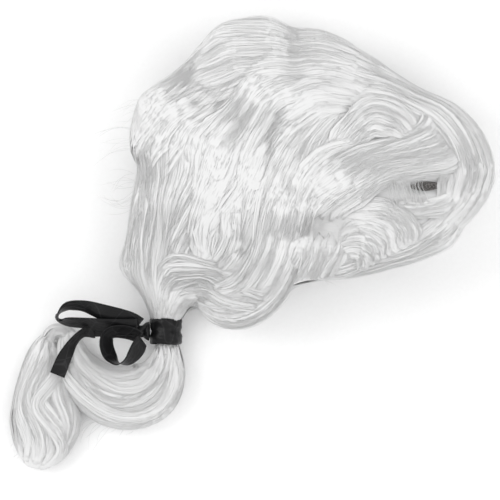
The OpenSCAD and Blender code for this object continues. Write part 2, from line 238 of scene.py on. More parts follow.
def head(q, h):
    """Points and outward directions on the head of hair, h above its surface."""
    w = np.clip(np.linalg.norm(q, axis=-1), 0, 2)
    turn = np.arctan2(q[..., 1], q[..., 0])
    top = w <= 1
    n = np.where(top, TOP_ROUND, LOW_ROUND)
    rho = np.sin(w * math.pi / 2) ** (2 / n)
    rise = np.abs(np.cos(w * math.pi / 2)) ** (2 / n)
    out = reach(turn)
    x = CENTRE[0] + rho * out * np.cos(turn)
    y = CENTRE[1] + rho * out * np.sin(turn)
    near = smooth((np.hypot(x - NECK[0], y - NECK[1]) - SLOPE_END) / SLOPE_RUN)
    mid = NECK_MID_Z + (MID_Z - NECK_MID_Z) * near
    high = NECK_TOP_Z + (TOP_Z - NECK_TOP_Z) * near
    gap = mouth_gap(turn)
    edge = np.where(top, mid + gap, np.maximum(mid - gap, 6))
    z = edge + np.where(top, high - edge, LOW_Z - edge) * rise
    side = np.where(top, 1.0, -1.0)
    normal = np.stack(
        [
            np.cos(turn) * rho ** (n - 1) / out,
            np.sin(turn) * rho ** (n - 1) / out,
            side * rise ** (n - 1) / np.maximum(high - edge, 20),
        ],
        -1,
    )
    normal = unit(normal)
    lift = h + np.where(top, relief(x, y), 0)
    p = np.stack([x, y, z], -1) + normal * lift[..., None]
    p[..., 2] = np.maximum(p[..., 2], 0.4)
    return p, normal


def comb(guides, fractions, flat):
    """Curves on the unrolled head that run between guides, at fractions of the way across.

    Flat guides are places (x, y) under the head, and are unrolled after they are combed.
    """
    lines = guides if flat else [chart(c) for c in guides]
    g = np.array([curve_points(line, STEPS) for line in lines])
    at = np.clip(fractions, 0, 1) * (len(g) - 1)
    i = np.minimum(at.astype(int), len(g) - 2)
    t = (at - i)[:, None, None]
    q = hermite(g[np.maximum(i - 1, 0)], g[i], g[i + 1], g[np.minimum(i + 2, len(g) - 1)], t)
    if flat:
        q = chart([(x, y, -1) for x, y in q.reshape(-1, 2)]).reshape(q.shape)
    return q


def tube_point(stations, s, turn, swell=0.0):
    """Points on a soft round sweep. A station is x, y, z, half width, half height."""
    line = curve_points(stations, 160)
    at = np.clip(s, 0, 1) * (len(line) - 1)
    here = np.stack([np.interp(at, np.arange(len(line)), line[:, k]) for k in range(5)], -1)
    slope = np.gradient(line[:, :3], axis=0)
    ahead = np.stack([np.interp(at, np.arange(len(line)), slope[:, k]) for k in range(3)], -1)
    ahead = unit(ahead)
    side = unit(np.cross(ahead, UP))
    up = np.cross(side, ahead)
    c, n = np.cos(turn)[..., None], np.sin(turn)[..., None]
    hw, hh = here[..., 3:4], here[..., 4:5]
    normal = unit(side * c / hw + up * n / hh)
    p = here[..., :3] + side * c * hw + up * n * hh + normal * np.asarray(swell)[..., None]
    p[..., 2] = np.maximum(p[..., 2], 0.4)
    return p, normal


# The hair drawn together, from the head down to the tie. The fans' locks join it at a share of
# its length, and run on along it for another.
JOIN_AT = 0.35
JOIN_RUN = 0.5
GATHER = [
    (-36, -4, 26, 10, 9), (-44, -17, 26, 20, 16), (-52, -30, 24, 20, 17),
    (-57, -40, 20.5, 15.5, 15), (-63.3, -50.6, 15.5, 11.5, 11), (-68.3, -59.3, 15, 10.2, 10.2),
    (-76, -72.5, 15, 9.4, 9.4),
]


def draw_in(p, normal, turns, start):
    """Draws the ends of curves in towards the tie, each to its own place round it."""
    count = p.shape[1]
    t = np.linspace(0, 1, count)[None, :]
    pull = smooth((t - start) / (1 - start))
    s = JOIN_AT + JOIN_RUN * np.clip((t - start) / (1 - start), 0, 1) * np.ones((len(p), 1))
    to, to_normal = tube_point(GATHER, s, turns[:, None] * np.ones((1, count)))
    k = pull[..., None]
    return p * (1 - k) + to * k, unit(normal * (1 - k) + to_normal * k)


def ends(t, lead, trail, least):
    """A lock's width along it, as a share: it grows from its root and closes to its tip."""
    grow = smooth(t / lead) * 0.85 + 0.15
    close = smooth((1 - t) / trail)
    return np.maximum(grow * (least + (1 - least) * close), 0.04)


def lock_mesh(p, normal, width, thick, rng, least):
    """Flattened locks with ridges along them: corners, faces and lengthwise coordinates."""
    locks, count, _ = p.shape
    t = np.linspace(0, 1, count)
    side, up = across(p, normal)
    domed = np.linspace(0, math.pi, LOCK_TOP_SIDES)
    beneath = np.linspace(math.pi, 2 * math.pi, 5)[1:-1]
    turn = np.r_[domed, beneath]
    flat = np.where(turn > math.pi + 0.01, 0.4, 1.0)
    share = ends(t, ROOT_SHARE, TIP_SHARE, least)[None, :, None]
    w = width[:, None, None] * share
    th = thick[:, None, None] * (0.25 + 0.75 * share)
    ridge_a = rng.normal(0, RIDGE, (locks, 1, len(turn)))
    ridge_b = rng.normal(0, RIDGE, (locks, 1, len(turn)))
    zigzag = ZIGZAG * (-1.0) ** np.arange(len(turn))[None, None, :]
    mix = (0.5 + 0.5 * np.cos(math.pi * t + rng.uniform(0, 2, (locks, 1))))[:, :, None]
    ridge = (ridge_a * mix + ridge_b * (1 - mix) + zigzag) * np.sin(turn).clip(0, 1) ** 0.5
    x = w * np.cos(turn)[None, None, :]
    lens = np.sin(turn) * np.abs(np.sin(turn)) ** 0.6
    y = th * (lens * flat)[None, None, :] * (1 + 0.9 * ridge)
    v = p[:, :, None, :] + side[:, :, None, :] * x[..., None] + up[:, :, None, :] * y[..., None]
    v[..., 2] = np.maximum(v[..., 2], 0.3)
    m = len(turn)
    uv = np.zeros((locks, count, m, 2))
    run = np.cumsum(np.r_[0, np.linalg.norm(np.diff(p[0], axis=0), axis=1)]) / 100
    uv[..., 0] = x / 6 + rng.uniform(0, 40, (locks, 1, 1))
    uv[..., 1] = run[None, :, None] + rng.uniform(0, 9, (locks, 1, 1))
    return v.reshape(-1, 3), tube_faces(locks, count, m), uv.reshape(-1, 2)


def tube_faces(tubes, rings, m):
    """Faces of closed tubes: rings of m corners, with a face over each end."""
    r = np.arange(rings - 1)[:, None]
    k = np.arange(m)[None, :]
    a = r * m + k
    b = r * m + (k + 1) % m
    quads = np.stack([a, b, b + m, a + m], -1).reshape(-1, 4)
    base = np.arange(tubes)[:, None, None] * rings * m
    quads = (quads[None] + base).reshape(-1, 4)
    first = np.arange(m)[::-1][None, :] + base[:, :, 0]
    last = (rings - 1) * m + np.arange(m)[None, :] + base[:, :, 0]
    return quads, np.vstack([first, last])


def loop_faces(sections, m):
    """Faces of a ring: sections of m corners that follow each other round and close."""
    i = np.arange(sections)[:, None]
    k = np.arange(m)[None, :]
    n = (i + 1) % sections
    faces = [i * m + k, i * m + (k + 1) % m, n * m + (k + 1) % m, n * m + k]
    return np.stack(faces, -1).reshape(-1, 4)


def two_skins(outer, inner):
    """Closed sections made of two skins: their corners, and how many there are in a section."""
    ring = np.concatenate([outer, inner[:, ::-1]], 1)
    return ring.reshape(-1, 3), ring.shape[1]


def strand_mesh(p, normal, radius, rng):
    """Fine strands, as closed three-sided tubes with pointed ends."""
    count = p.shape[1]
    side, up = across(p, normal)
    t = np.linspace(0, 1, count)
    taper = (0.12 + 0.88 * smooth(t / 0.1) * smooth((1 - t) / 0.25))[None, :, None]
    turn = np.radians([90, 210, 330])
    r = radius[:, None, None] * taper
    x = r * np.cos(turn)[None, None, :]
    y = r * np.sin(turn)[None, None, :]
    v = p[:, :, None, :] + side[:, :, None, :] * x[..., None] + up[:, :, None, :] * y[..., None]
    v[..., 2] = np.maximum(v[..., 2], 0.25)
    uv = np.zeros(v.shape[:3] + (2,))
    uv[..., 0] = rng.uniform(0, 60, (len(p), 1, 1))
    uv[..., 1] = t[None, :, None] * 2
    return v.reshape(-1, 3), tube_faces(len(p), count, 3), uv.reshape(-1, 2)


def mesh_object(name, v, faces, finish, body, uv=None):
    """A mesh from corners in millimetres and from arrays of faces, one array for each size."""
    if isinstance(faces, np.ndarray):
        faces = (faces,)
    sizes = np.concatenate([np.full(len(f), f.shape[1]) for f in faces])
    loops = np.concatenate([f.ravel() for f in faces]).astype(np.int32)
    mesh = bpy.data.meshes.new(name)
    mesh.vertices.add(len(v))
    mesh.vertices.foreach_set("co", (v * MM).astype(np.float32).ravel())
    mesh.loops.add(len(loops))
    mesh.loops.foreach_set("vertex_index", loops)
    mesh.polygons.add(len(sizes))
    starts = np.concatenate([[0], np.cumsum(sizes)[:-1]]).astype(np.int32)
    mesh.polygons.foreach_set("loop_start", starts)
    mesh.polygons.foreach_set("use_smooth", np.ones(len(sizes), bool))
    if uv is not None:
        layer = mesh.uv_layers.new(name="strand")
        layer.data.foreach_set("uv", uv[loops].astype(np.float32).ravel())
    mesh.update(calc_edges=True)
    mesh.validate()
    mesh.materials.append(finish)
    obj = bpy.data.objects.new(name, mesh)
    bpy.context.scene.collection.objects.link(obj)
    if body:
        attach(obj, body)
    return obj


def place_strands(p, normal, width, thick, each, rng):
    """Strands along locks, each at its own place across and above its lock."""
    locks, count, _ = p.shape
    t = np.linspace(0, 1, count)[None, :]
    side, _ = across(p, normal)
    own = np.repeat(np.arange(locks), each)
    n = len(own)
    a = rng.uniform(-1.15, 1.15, (n, 1))
    drift = rng.normal(0, 0.35, (n, 1))
    sway = rng.normal(0, 0.10, (n, 1)) * np.sin(
        2 * math.pi * (t * rng.uniform(1, 3, (n, 1)) + rng.uniform(0, 1, (n, 1)))
    )
    share = ends(t, ROOT_SHARE, TIP_SHARE, 0.25)
    x = width[own][:, None] * share * (a + drift * (t - 0.4) + sway)
    dome = np.sqrt(np.clip(1 - np.clip(np.abs(a), 0, 1) ** 2, 0, 1))
    y = thick[own][:, None] * share * dome + 0.15 + np.abs(rng.normal(0, STRAY, (n, 1)))
    return p[own] + side[own] * x[..., None] + normal[own] * y[..., None], normal[own]


def at_level(at, *places):
    """A guide at one level on the head."""
    return [(x, y, at) for x, y in places]


def under(*places):
    """A guide on the under side."""
    return at_level(-1, *places)


# Each fan's locks run between its guides.
# width, thick: half a lock's width, and its thickness before THIN. lift: its height over the head.
# tie: the places round the tie that the locks go to, in degrees, from the nape lobe's side (0)
#     over the top (90) to the crown's side (180), or None where they end on the head.
# pull: how far along their length the locks start to draw in to the tie.
# each: strands on a lock, before FULL.
# root, rise: how deep the locks start, and in what share of their length they come up.
# even: how much of a lock's start may be missing, as a share.
# flat: the guides are places in plan under the head.
DEFAULTS = dict(layers=2, thick=1.9, tie=None, each=9, root=2.2, rise=0.22, even=0.16, flat=False)
FANS = {
    "under": dict(
        guides=[
            [(188, 12), (130, 62), (62, 86), (8, 68), (-32, 24), (-55, -20)],
            [(204, -30), (140, 10), (70, 35), (10, 20), (-30, -5), (-55, -25)],
            [(210, -60), (140, -45), (70, -20), (15, -25), (-25, -28), (-50, -32)],
            [(208, -82), (150, -88), (85, -72), (25, -58), (-15, -50), (-42, -42)],
            [(180, -102), (130, -102), (75, -88), (25, -76), (-14, -68), (-36, -54)],
        ],
        locks=30, layers=1, width=9.0, thick=1.6, lift=0.2, tie=(200, 340), pull=0.84, each=3,
        flat=True,
    ),
    "back": dict(
        guides=[
            [(174, 50), (135, 92), (96, 121), (66, 117), (40, 92, -1), (0, 50, -1), (-40, 10, -1),
             (-58, -22, -1)],
            [(169, 58), (131, 86), (90, 112), (45, 108), (0, 103), (-12, 70, -1), (-37, 32, -1),
             (-66, -8, -1)],
            [(160, 62), (120, 84), (72, 100), (25, 96), (-14, 84), (-24, 56, -1), (-50, 18, -1),
             (-73, -10, -1)],
            [(150, 62), (108, 80), (62, 86), (18, 80), (-19, 66), (-38, 38, -1), (-60, 10, -1),
             (-76, -18, -1)],
            [(146, 54), (104, 66), (60, 70), (18, 58), (-22, 42), (-44, 30), (-65, 6), (-76, -18)],
        ],
        locks=20, width=8.0, lift=0.4, tie=(245, 165), pull=0.86, each=7,
    ),
    "flank": dict(
        guides=[
            [(176, 48, 1.03), (150, 82, 1.03), (108, 118, 1.03), (60, 115, 1.04), (6, 106, 1.05),
             (-20, 70, 1.06), (-55, 18, 1.06), (-74, -12, 1.06)],
            [(182, 34, 1.1), (156, 78, 1.1), (118, 112, 1.1), (66, 117, 1.11), (12, 106, 1.12),
             (-18, 80, 1.13), (-50, 25, 1.13), (-75, -8, 1.13)],
            [(190, 18, 1.19), (168, 62, 1.19), (128, 104, 1.18), (76, 120, 1.19), (22, 106, 1.2),
             (-14, 88, 1.21), (-46, 30, 1.21), (-74, -8, 1.21)],
            [(200, 0, 1.29), (178, 44, 1.29), (138, 90, 1.28), (84, 123, 1.29), (30, 107, 1.3),
             (-8, 94, 1.31), (-42, 36, 1.31), (-72, -8, 1.31)],
            at_level(1.42, (206, -20), (184, 30), (146, 84), (92, 122), (40, 108), (-4, 97),
                         (-38, 40), (-70, -8)),
        ],
        locks=26, width=8.5, lift=0.4, tie=(200, 245), pull=0.9, each=5,
    ),
    "lip": dict(
        guides=[
            [(222, -80, 1.02), (200, -100, 1.02), (164, -116, 1.02), (128, -111, 1.02),
             (96, -105, 1.02), (66, -94, 1.02), (40, -86, 1.03), (14, -90, 1.03), (-10, -91, 1.03),
             (-30, -76, 1.03), (-38, -58, 1.03), (-48, -46, 1.03)],
            at_level(1.12, (223, -74), (206, -98), (170, -116), (134, -112), (100, -106), (70, -96),
                         (42, -86), (16, -90), (-8, -92), (-28, -78), (-38, -58), (-48, -46)),
            at_level(1.24, (223, -70), (210, -94), (176, -114), (140, -113), (104, -107), (74, -98),
                         (44, -87), (18, -89), (-6, -92), (-26, -80), (-37, -60), (-48, -46)),
            at_level(1.38, (224, -64), (214, -88), (182, -110), (146, -114), (108, -108), (78, -99),
                         (46, -88), (20, -88), (-4, -92), (-24, -82), (-36, -62), (-48, -46)),
        ],
        locks=18, width=6.5, thick=1.6, lift=0.3, tie=(-10, -60), pull=0.9, each=6,
    ),
    "temple": dict(
        guides=[
            at_level(1.04, (156, 78), (184, 30), (206, -10), (223, -42), (222, -78)),
            at_level(1.14, (148, 84), (180, 36), (204, -8), (222, -40), (223, -74)),
            at_level(1.26, (146, 86), (178, 42), (202, -2), (220, -36), (224, -68)),
            at_level(1.42, (150, 84), (176, 48), (200, 4), (218, -30), (224, -60)),
        ],
        locks=14, width=8.0, lift=0.3, each=6, root=3.0,
    ),
    "crown": dict(
        guides=[
            [(180, 40), (150, 80), (118, 108), (92, 121), (72, 117)],
            [(176, 38), (143, 74), (108, 100), (72, 112), (44, 108)],
            [(170, 36), (136, 66), (98, 88), (54, 98), (20, 100)],
            [(162, 34), (128, 58), (88, 76), (42, 82), (4, 80)],
        ],
        locks=16, width=7.5, lift=1.6, each=7,
    ),
    "sweep": dict(
        guides=[
            [(183, 28), (160, 65), (131, 92), (94, 108), (52, 107), (9, 93), (-20, 67), (-42, 34),
             (-64, 8), (-77, -16), (-74, -27)],
            [(182, 23), (161, 57), (130, 84), (97, 100), (58, 95), (18, 86), (-15, 65), (-37, 32),
             (-56, 2), (-69, -20), (-68, -31)],
            [(180, 18), (153, 52), (124, 73), (90, 79), (52, 69), (11, 51), (-20, 22), (-42, -6),
             (-58, -30)],
            [(171, 14), (143, 43), (110, 57), (74, 51), (43, 37), (15, 16), (-10, -7), (-34, -25),
             (-52, -38)],
            [(156, 13), (127, 34), (97, 35), (68, 22), (41, 1), (20, -22), (-2, -38), (-27, -42),
             (-46, -46)],
            [(144, 13), (120, 22), (90, 14), (58, -5), (35, -25), (14, -44), (-10, -52),
             (-28, -51), (-42, -50)],
        ],
        locks=42, width=8.0, thick=2.0, lift=0.9, tie=(172, 62), pull=0.86,
    ),
    "lobe": dict(
        guides=[
            [(128, 17), (101, 12), (74, -4), (46, -25), (28, -47), (7, -60), (-14, -60),
             (-32, -50), (-46, -42)],
            [(143, 18), (111, 9), (80, -12), (52, -38), (30, -59), (4, -72), (-18, -68),
             (-34, -54), (-47, -44)],
            [(143, 8), (111, -3), (81, -24), (58, -47), (39, -66), (14, -80), (-12, -80),
             (-29, -66), (-38, -54), (-47, -45)],
            [(80, -28), (62, -50), (48, -67), (27, -79), (4, -88), (-17, -86), (-31, -70),
             (-39, -57), (-48, -46)],
        ],
        locks=24, width=7.5, thick=2.0, lift=1.2, tie=(66, 8), pull=0.88,
    ),
    "hip": dict(
        guides=[
            under((-30, 52), (-46, 34), (-64, 12), (-77, -8), (-78, -25)),
            [(-26, 56), (-43, 38), (-60, 16), (-76, -6), (-78, -24)],
            [(-22, 50), (-37, 34), (-53, 14), (-67, -5), (-71, -23)],
            [(-18, 40), (-30, 26), (-44, 10), (-57, -6), (-63, -24)],
        ],
        locks=20, width=7.0, lift=1.2, tie=(225, 130), pull=0.8,
    ),
    "arch": dict(
        guides=[
            [(52, -72), (30, -68), (10, -56), (-6, -38), (-25, -20), (-46, -16), (-64, -28)],
            [(50, -80), (28, -78), (6, -68), (-12, -50), (-28, -34), (-45, -29), (-60, -36)],
            [(40, -86), (20, -86), (0, -78), (-18, -62), (-32, -48), (-46, -42), (-57, -43)],
        ],
        locks=14, width=6.0, thick=1.8, lift=1.0, tie=(140, 60), pull=0.8, root=3.0, even=0.34,
    ),
    "rim_low": dict(
        guides=[
            under((146, 88), (178, 44), (200, -2), (214, -40), (212, -78), (190, -100)),
            [(152, 80), (184, 30), (205, -8), (224, -42), (221, -79), (197, -103)],
        ],
        locks=9, width=8.0, thick=1.8, lift=0.3, each=7,
    ),
    "rim": dict(
        guides=[
            [(154, 76), (186, 28), (206, -8), (223, -42), (220, -79), (195, -102), (160, -114)],
            [(154, 60), (183, 19), (203, -14), (215, -46), (211, -77), (188, -97), (154, -107)],
            [(147, 43), (176, 12), (197, -18), (206, -46), (202, -70), (184, -88), (152, -98)],
            [(147, 24), (170, 3), (185, -21), (191, -46), (188, -64), (176, -78), (156, -90)],
        ],
        locks=20, width=7.5, thick=1.8, lift=0.8, each=8,
    ),
    "fold": dict(
        guides=[
            [(112, -8), (135, 4), (157, 8), (173, -5), (181, -26), (183, -42)],
            [(117, -9), (137, -1), (156, 0), (169, -13), (174, -30), (173, -42)],
            [(123, -11), (139, -8), (152, -10), (162, -20), (167, -32)],
        ],
        locks=10, layers=1, width=6.0, thick=1.8, lift=3.0, each=8,
    ),
    "brow": dict(
        guides=[
            [(199, -8), (196, -22), (184, -31), (168, -31), (148, -24), (123, -17), (97, -17),
             (77, -27), (66, -40)],
            [(204, -20), (202, -34), (190, -42), (171, -40), (148, -33), (122, -28), (98, -30),
             (80, -37), (69, -47)],
            [(208, -32), (206, -46), (192, -53), (171, -48), (147, -40), (125, -37), (105, -40),
             (90, -46), (80, -54)],
            [(210, -44), (206, -58), (191, -62), (171, -55), (146, -47), (130, -46), (114, -50),
             (102, -54), (94, -60)],
        ],
        locks=16, width=7.0, lift=2.0, root=4.5, rise=0.36, even=0.1,
    ),
    "lower": dict(
        guides=[
            [(202, -98), (175, -112), (144, -114), (116, -107), (91, -102), (66, -94), (42, -84)],
            [(197, -94), (174, -105), (149, -107), (125, -103), (99, -98), (71, -90), (46, -80)],
            [(188, -88), (170, -96), (151, -98), (129, -100), (104, -94), (79, -86), (50, -74)],
        ],
        locks=10, width=6.0, thick=1.8, lift=0.4, root=3.0, rise=0.3,
    ),
    "pocket": dict(
        guides=[
            [(70, -50), (62, -63), (52, -74), (38, -82)],
            [(84, -60), (76, -72), (66, -81), (50, -88)],
            [(96, -68), (90, -80), (80, -89), (64, -95)],
        ],
        locks=14, layers=1, width=5.0, thick=1.8, lift=0.6, root=3.0,
    ),
    "curl": dict(
        guides=[
            [(93, -52), (114, -56), (131, -67), (138, -84), (132, -104)],
            [(85, -66), (105, -66), (119, -76), (123, -91), (114, -104)],
            [(80, -74), (96, -74), (106, -83), (106, -96), (97, -103)],
            [(76, -84), (88, -84), (94, -92), (88, -101)],
        ],
        locks=13, width=6.0, lift=1.4, root=4.5,
    ),
    "brow_low": dict(
        guides=[
            [(191, -78), (176, -86), (156, -80), (140, -70), (122, -62)],
            [(188, -84), (172, -92), (152, -86), (136, -76), (116, -68)],
        ],
        locks=6, layers=1, width=5.0, thick=1.6, lift=1.2, each=7,
    ),
}


def fan_locks(fan, rng):
    """A fan's locks: their middle lines, outward directions, half widths and thicknesses."""
    n = fan["locks"]
    middles, lifts = [], []
    for layer in range(fan["layers"]):
        f = (np.arange(n) + 0.5 + rng.uniform(-0.45, 0.45, n)) / n
        f = np.clip(f + 0.25 * layer / n, 0, 1)
        middles.append(f)
        lifts.append(fan["lift"] + 0.35 * layer + rng.uniform(-0.2, 0.2, n))
    f = np.concatenate(middles)
    lift = np.concatenate(lifts)
    q = comb(fan["guides"], f, fan["flat"])
    t = np.linspace(0, 1, STEPS)[None, :]
    wander = rng.normal(0, 0.010, (len(f), 1)) * np.sin(
        math.pi * (t * rng.uniform(1, 2.4, (len(f), 1)) + rng.uniform(0, 2, (len(f), 1)))
    )
    tangent = unit(np.gradient(q, axis=1))
    q = q + np.stack([-tangent[..., 1], tangent[..., 0]], -1) * wander[..., None]
    dip = fan["root"] * (1 - smooth(t / fan["rise"])) + 1.6 * (1 - smooth((1 - t) / 0.18))
    h = lift[:, None] - dip
    p, normal = head(q, h)
    if fan["tie"]:
        a, b = fan["tie"]
        turns = np.radians(180 - a - (b - a) * f)
        p, normal = draw_in(p, normal, turns, fan["pull"])
    width = fan["width"] * rng.uniform(0.85, 1.35, len(f))
    thick = THIN * fan["thick"] * rng.uniform(0.8, 1.2, len(f))
    return p, normal, width, thick


def trim(p, normal, rng, start, stop, steps=STEPS):
    """Cuts curves to random shares of their length and spaces their points again."""
    count = p.shape[1]
    a = rng.uniform(0, start, (len(p), 1))
    b = 1 - rng.uniform(0, stop, (len(p), 1))
    at = (a + (b - a) * np.linspace(0, 1, steps)[None, :]) * (count - 1)
    i = np.minimum(at.astype(int), count - 2)
    k = (at - i)[..., None]
    row = np.arange(len(p))[:, None]
    return p[row, i] * (1 - k) + p[row, i + 1] * k, unit(
        normal[row, i] * (1 - k) + normal[row, i + 1] * k
    )


def material(name, rough, **constants):
    """A principled material with its nodes, ready for a pattern."""
    m = bpy.data.materials.new(name)
    m.use_nodes = True
    nodes = m.node_tree.nodes
    shader = next(n for n in nodes if n.type == "BSDF_PRINCIPLED")
    shader.inputs["Roughness"].default_value = rough
    for key, value in constants.items():
        shader.inputs[key.replace("_", " ")].default_value = value
    return m, m.node_tree, shader


def ramp(tree, fac, low, high, at=(0.3, 0.7)):
    node = tree.nodes.new("ShaderNodeValToRGB")
    for stop, place, colour in zip(node.color_ramp.elements, at, (low, high)):
        stop.position = place
        stop.color = (*colour, 1)
    tree.links.new(fac, node.inputs[0])
    return node.outputs[0]


def bump(tree, shader, height, strength, distance):
    node = tree.nodes.new("ShaderNodeBump")
    node.inputs["Strength"].default_value = strength
    node.inputs["Distance"].default_value = distance
    tree.links.new(height, node.inputs["Height"])
    tree.links.new(node.outputs[0], shader.inputs["Normal"])


def on_object(tree, kind, scale):
    """A texture node laid on the object's own coordinates."""
    coord = tree.nodes.new("ShaderNodeTexCoord")
    node = tree.nodes.new(kind)
    node.inputs["Scale"].default_value = scale
    tree.links.new(coord.outputs["Object"], node.inputs["Vector"])
    return node


def noise(tree, scale, detail=4.0, stretch=(1, 1, 1), vector=None):
    """Noise on the object's own coordinates, or on the vector given."""
    if vector is None:
        vector = tree.nodes.new("ShaderNodeTexCoord").outputs["Object"]
    place = tree.nodes.new("ShaderNodeMapping")
    place.inputs["Scale"].default_value = stretch
    tree.links.new(vector, place.inputs["Vector"])
    node = tree.nodes.new("ShaderNodeTexNoise")
    node.inputs["Scale"].default_value = scale
    node.inputs["Detail"].default_value = detail
    tree.links.new(place.outputs[0], node.inputs["Vector"])
    return node.outputs["Fac"]


def hair_material():
    """White synthetic hair: fine streaks along each lock, and a soft sheen."""
    m, tree, shader = material("hair", 0.55, Specular_IOR_Level=0.2, Sheen_Weight=0.15)
    uv = tree.nodes.new("ShaderNodeUVMap")
    uv.uv_map = "strand"
    streak = noise(tree, 9.0, 5.0, (1.0, 0.10, 1), uv.outputs[0])
    colour = ramp(tree, streak, (0.725, 0.725, 0.728), (0.75, 0.75, 0.747), (0.34, 0.64))
    tree.links.new(colour, shader.inputs["Base Color"])
    bump(tree, shader, streak, 0.06, 0.0003)
    return m


def satin_material():
    """Black satin ribbon: soft folds, and sharp creases drawn as painted highlights."""
    m, tree, shader = material("satin", 0.34, Specular_IOR_Level=0.2, Sheen_Weight=0.02,
                               Anisotropic=0.5)
    # Painted highlight: the colour is lighter in thin lines along the cell edges, standing in for
    # light caught on the creases.
    cells = on_object(tree, "ShaderNodeTexVoronoi", 58.0)
    cells.feature = "DISTANCE_TO_EDGE"
    colour = ramp(tree, cells.outputs["Distance"], (0.021, 0.021, 0.022), (0.0065, 0.0065, 0.007),
                  (0.0, 0.03))
    tree.links.new(colour, shader.inputs["Base Color"])
    crease = noise(tree, 160.0, 3.0, (1, 1, 2.2))
    bump(tree, shader, crease, 0.5, 0.0012)
    return m


def net_material(name, low, high):
    """Stretch net: small round holes between fine threads."""
    m, tree, shader = material(name, 0.7, Sheen_Weight=0.2)
    cells = on_object(tree, "ShaderNodeTexVoronoi", 620.0)
    colour = ramp(tree, cells.outputs["Distance"], high, low, (0.25, 0.6))
    tree.links.new(colour, shader.inputs["Base Color"])
    bump(tree, shader, cells.outputs["Distance"], 0.6, 0.0005)
    return m


def web_material(name, low, high):
    """Woven elastic tape: close ribs with a little colour variation."""
    m, tree, shader = material(name, 0.75, Sheen_Weight=0.25)
    weave = on_object(tree, "ShaderNodeTexWave", 420.0)
    weave.inputs["Distortion"].default_value = 1.2
    colour = ramp(tree, weave.outputs["Fac"], low, high, (0.2, 0.8))
    tree.links.new(colour, shader.inputs["Base Color"])
    bump(tree, shader, weave.outputs["Fac"], 0.4, 0.0004)
    return m


def plastic_material():
    """Moulded plastic: faint flow marks and a satin gloss."""
    m, tree, shader = material("plastic", 0.38, Specular_IOR_Level=0.5)
    flow = noise(tree, 90.0)
    colour = ramp(tree, flow, (0.78, 0.77, 0.74), (0.86, 0.855, 0.83))
    tree.links.new(colour, shader.inputs["Base Color"])
    bump(tree, shader, flow, 0.15, 0.0003)
    return m


HAIR = hair_material()
SATIN = satin_material()
NET = net_material("net", (0.42, 0.41, 0.40), (0.80, 0.79, 0.77))
# A darker copy of the net's colours: painted shade at the bottom of the parting beside the brow.
PAINTED_SHADE_NET = net_material("painted_shade_net", (0.13, 0.125, 0.12), (0.34, 0.32, 0.31))
WEB = web_material("web", (0.58, 0.57, 0.55), (0.80, 0.79, 0.77))
PLASTIC = plastic_material()


def hair_pieces(name, p, normal, width, thick, least, each, cuts, rng):
    """Locks, and the strands over them, as two objects. The cuts are the strands' trim."""
    v, faces, uv = lock_mesh(p, normal, width, thick, rng, least)
    locks = mesh_object(name + "_locks", v, faces, HAIR, None, uv)
    sp, sn = place_strands(p, normal, width, thick, int(FULL * each), rng)
    sp, sn = trim(sp, sn, rng, *cuts, STRAND_STEPS)
    v, faces, uv = strand_mesh(sp, sn, rng.uniform(*STRAND_R, len(sp)), rng)
    return locks, mesh_object(name + "_strands", v, faces, HAIR, None, uv)


def build_fan(name, seed):
    fan = {**DEFAULTS, **FANS[name]}
    rng = np.random.default_rng(seed)
    p, normal, width, thick = fan_locks(fan, rng)
    tied = fan["tie"] is not None
    p, normal = trim(p, normal, rng, fan["even"], 0.03 if tied else 0.14)
    if tied:
        width = width * 0.9
    least = 0.5 if tied else 0.12
    return hair_pieces(name, p, normal, width, thick, least, fan["each"], (0.2, 0.1), rng)


def tube_object(name, stations, sink):
    """A soft round body of hair under its locks, with faint grooves along it."""
    rings, sides = 48, 28
    s = np.linspace(0, 1, rings)[:, None] * np.ones((1, sides))
    turn = np.linspace(0, 2 * math.pi, sides, endpoint=False)[None, :] * np.ones((rings, 1))
    groove = 0.25 * np.cos(9 * turn + 3 * s) - sink
    v, _ = tube_point(stations, s, turn, groove)
    uv = np.stack([turn * 2, s * 2], -1).reshape(-1, 2)
    return mesh_object(name, v.reshape(-1, 3), tube_faces(1, rings, sides), HAIR, None, uv)


QUEUE_BEND = [
    (-76, -72.5, 14.5, 7.5, 7.5), (-81, -82, 14, 11, 10.5), (-93, -95, 13.5, 18, 13),
    (-112, -100.5, 13.5, 23.5, 14), (-132, -91.5, 13.5, 23.5, 14), (-144.5, -74, 13.5, 19, 13.5),
    (-149, -55, 12.5, 15, 12.5), (-147, -42, 12, 12, 11.5), (-143, -32, 11, 9.5, 9.5),
    (-140, -27, 10, 6, 7),
]
QUEUE_END = [
    (-154, -24, 10, 6, 7), (-162, -28, 10.5, 10, 9.5), (-171, -41, 11, 15.5, 11.5),
    (-181, -59, 11.5, 22, 12.5), (-192, -78.5, 12, 26, 12.5), (-203.5, -92, 11, 22, 11.5),
    (-212, -101, 9.5, 17, 9.5), (-218.5, -108, 7, 9, 5),
]

# The hair that runs over the fold from the bend to the end.
QUEUE_FOLD = [
    (-145, -37, 10.5, 8, 7.5), (-143.5, -30, 10, 6.5, 7), (-146, -23.5, 10, 5.5, 6.5),
    (-151, -21.5, 10, 5.5, 6.5), (-156, -24.5, 10, 6.5, 7), (-160.5, -31, 10.5, 9, 8),
]


